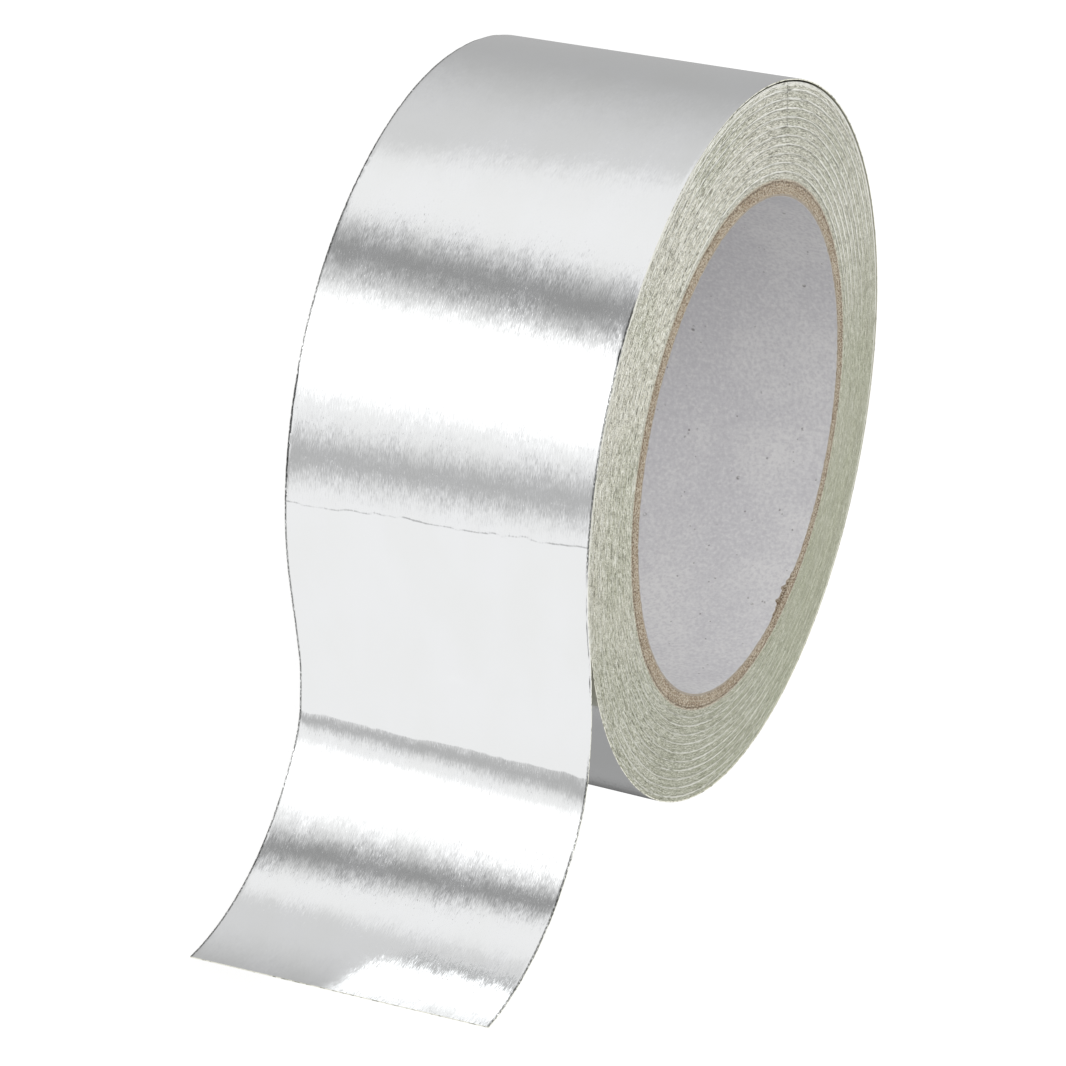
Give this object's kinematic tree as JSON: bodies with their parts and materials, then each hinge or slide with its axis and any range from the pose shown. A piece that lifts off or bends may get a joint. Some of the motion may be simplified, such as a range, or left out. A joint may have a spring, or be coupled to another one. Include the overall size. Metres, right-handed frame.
{
  "type": "roll of aluminium foil tape",
  "caption": "Roll of bright aluminium foil tape with a paper release liner on a board core, standing on its end with a short free end curling away.",
  "frame": {"origin": "axis of the roll at its lower end, which stands on the floor", "axes": "+Z along the axis, up from the end it stands on to the end that the picture shows; the free end leaves on the -X side and points to -Y"},
  "size_m": [0.1141, 0.1401, 0.048],
  "materials": {
    "core_board": "matte",
    "lining_paper": "smooth matte",
    "foil": "bright rolled foil"
  },
  "bodies": {
    "root": {"core": "core_board", "core_lining": "lining_paper", "tape": "foil"}
  },
  "joints": []
}
